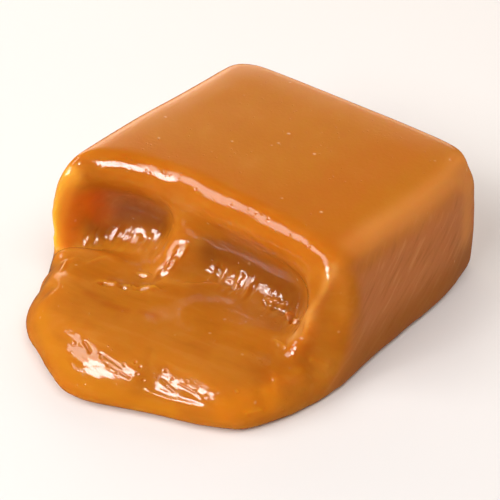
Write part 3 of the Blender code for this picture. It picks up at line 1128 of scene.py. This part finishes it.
# %% The tints
TINT_COATS = {
    # attribute: (share, colour)
    "low": (0.7, "#A86008"),  # painted shade on the lower half of the cut sides, near the floor
    "thin_edge": (0.7, "#EC9C4E"),  # light comes through the top's right edge and the far corner
    "amber": (0.8, "#F3B845"),  # painted glow of light through the thin left end of the wall
    "rim": (0.4, "#D68A12"),  # painted glow of light through the thin left rim of the tongue
    "ridge": (0.5, "#DCA658"),  # painted glow of light through the crest of the sharp ridge
    "hollow_shade": (0.62, "#7E3B09"),  # painted shade in the backs of the two hollows
    "crease_shade": (0.5, "#B05006"),  # painted shade in the creases below the lip, before the left hollow
    "right_foot_shade": (0.5, "#A05A18"),  # painted shade at the foot of the right hollow
    "ruddy": (0.45, "#C06402"),  # the top, behind the wall and along its right edge
    "dusky": (0.4, "#B65A02"),  # the tongue's right flank
    "glow": (0.5, "#EA8C0C"),  # the front of the tongue
    "pillar": (0.4, "#AE6208"),  # the front beside the ridge
    "red": (0.58, "#E8741A"),  # a glow in the left hollow's corner
}
for name, (share, colour) in TINT_COATS.items():
    inputs = {"Value": at[name], "To Max": share}
    coats.append((add_node("ShaderNodeMapRange", "Result", SMOOTH, inputs), colour))

BUBBLE_SHARE = 0.5
pale_specks = add_node("ShaderNodeMath", 0, MULTIPLY, {0: large_bubbles, 1: BUBBLE_SHARE})
coats.append((pale_specks, "#F0C080"))
print(len(TINT_COATS), "tints")

# %% Laying the coats over one another
body = linear(MASS)
for where, colour in coats:
    body = add_node("ShaderNodeMix", "Result", {"data_type": "RGBA"}, {
        "Factor": where, "A": body, "B": linear(colour),
    })
links.new(body, shader.inputs["Base Color"])
print(len(coats), "coats, one over the other")

# %% Scattering, gloss and the finest relief
SATIN, WET = 0.27, 0.07  # roughness of the cut skin and of the bitten part

shader.inputs["Subsurface Weight"].default_value = 1.0
shader.inputs["Subsurface Radius"].default_value = (1.0, 0.6, 0.3)  # red light goes furthest
shader.inputs["Subsurface Scale"].default_value = 0.0026  # in metres
shader.inputs["IOR"].default_value = 1.45  # that of milk fat; sugar glass alone has 1.5
gloss = add_node("ShaderNodeMapRange", "Result", SMOOTH, {
    "Value": at["bitten"], "To Min": SATIN, "To Max": WET,
})
links.new(gloss, shader.inputs["Roughness"])

flow_in_bite = add_node("ShaderNodeMath", 0, MULTIPLY, {0: patterns["flow"], 1: at["bitten"]})
skin = {}
for height, depth in (
    (patterns["grain"], 0.012), (fine_bubbles, 0.02), (flow_in_bite, 0.03), (large_bubbles, 0.04),
):
    inputs = {"Height": height, "Distance": depth * MM, "Strength": 1.0, **skin}
    skin["Normal"] = add_node("ShaderNodeBump", "Normal", None, inputs)
links.new(skin["Normal"], shader.inputs["Normal"])
print("nodes in the material:", len(nodes))

# %% [markdown]
# ## Finishing the caramel
#
# The mesh gets its material and smooth shading, and its points become metres. The smallest marks
# stand up to two hundredths of a millimetre past the solid's box, so the points are held to that
# box, and no eye can tell. The object itself stays at the origin, unturned and unscaled.

# %% The caramel in metres, in place of the solid
caramel.data.materials.clear()
caramel.data.materials.append(material)
caramel.data.shade_smooth()
put_points(caramel, np.clip(points_of(caramel) * MM, *np.array(cad_box)))

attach(caramel, "root")
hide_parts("caramel")
print("caramel:", len(caramel.data.polygons), "faces")

# %% [markdown]
# ## The table
#
# The caramel lies on a pale, plain table. A large grid of one face is enough, with a matt material.
# A white table mirrored in the wet rims gives them a pale film that hides the caramel's own
# colour, so the table is left out of reflections. It still takes the shadow and lights the sides.

# %% A plain pale floor
FLOOR_SIZE = 1.5

floor_mesh = bmesh.new()
bmesh.ops.create_grid(floor_mesh, x_segments=1, y_segments=1, size=FLOOR_SIZE)
floor = as_object("floor", floor_mesh)
floor_material = bpy.data.materials.new("pale table")
floor_material.use_nodes = True
floor_shader = floor_material.node_tree.nodes["Principled BSDF"]
floor_shader.inputs["Base Color"].default_value = linear("#F3EDE9")  # a warm white
floor_shader.inputs["Roughness"].default_value = 0.7  # matt, so it shows no reflection
floor.data.materials.append(floor_material)
floor.visible_glossy = False
print("floor", floor.dimensions[:2], "m")

# %% [markdown]
# ## Soft studio light
#
# Two lamps make the gleams: a pale box at the left and a bright, smaller one in front, the same
# two that the flats were tipped to. The bright one is only mirrored, because as a light it would
# flatten the hollows. Warm backdrops give the top its sheen, and large fills soften the shadows.
# An even sky alone would be simpler, but a wet surface then has nothing to mirror and looks like
# dull plastic.

# %% The room and its lamps
WORLD = 0.08
WHITE, WARM = "#FFFFFF", "#FFEBD2"
LAMPS = {
    # name: (azimuth, elevation, width, height, watts, seen in gloss, lights the rest, colour)
    "pale_box": (*PALE_BOX, 0.3, 0.18, 1.1, True, True, WHITE),
    "bright_box": (*BRIGHT_BOX, 0.27, 0.15, 2.8, True, False, WHITE),
    "front_fill": (350, 36, 0.3, 0.2, 1.37, False, True, WHITE),
    "backdrop": (222, 14, 0.5, 0.2, 0.75, True, True, WARM),
    "left_backdrop": (242, 18, 0.3, 0.2, 0.35, True, True, WARM),
    "back_fill": (200, 35, 0.3, 0.3, 0.2, False, True, WHITE),
    "back_right_fill": (150, 35, 0.3, 0.3, 0.35, False, True, WHITE),
    "right_fill": (85, 66, 0.3, 0.3, 0.92, False, True, WHITE),
}

scene = bpy.context.scene
scene.view_settings.view_transform = "Standard"
scene.world = bpy.data.worlds.new("studio")
scene.world.use_nodes = True
background = scene.world.node_tree.nodes["Background"]
background.inputs["Color"].default_value = linear(WHITE)
background.inputs["Strength"].default_value = WORLD

for name, (azimuth, elevation, width, height, watts, in_gloss, in_diffuse, colour) in LAMPS.items():
    lamp = bpy.data.objects.new(name, bpy.data.lights.new(name, "AREA"))
    scene.collection.objects.link(lamp)
    lamp.data.color = linear(colour)[:3]
    lamp.data.shape = "RECTANGLE"
    lamp.data.size, lamp.data.size_y = width, height
    lamp.data.energy = watts
    way = Vector(direction(azimuth, elevation))
    lamp.location = way * (LAMP_DISTANCE * MM)
    lamp.rotation_mode = "QUATERNION"
    lamp.rotation_quaternion = way.to_track_quat("Z", "Y")
    lamp.visible_glossy = in_gloss
    lamp.visible_diffuse = in_diffuse
print(len(LAMPS), "lamps")
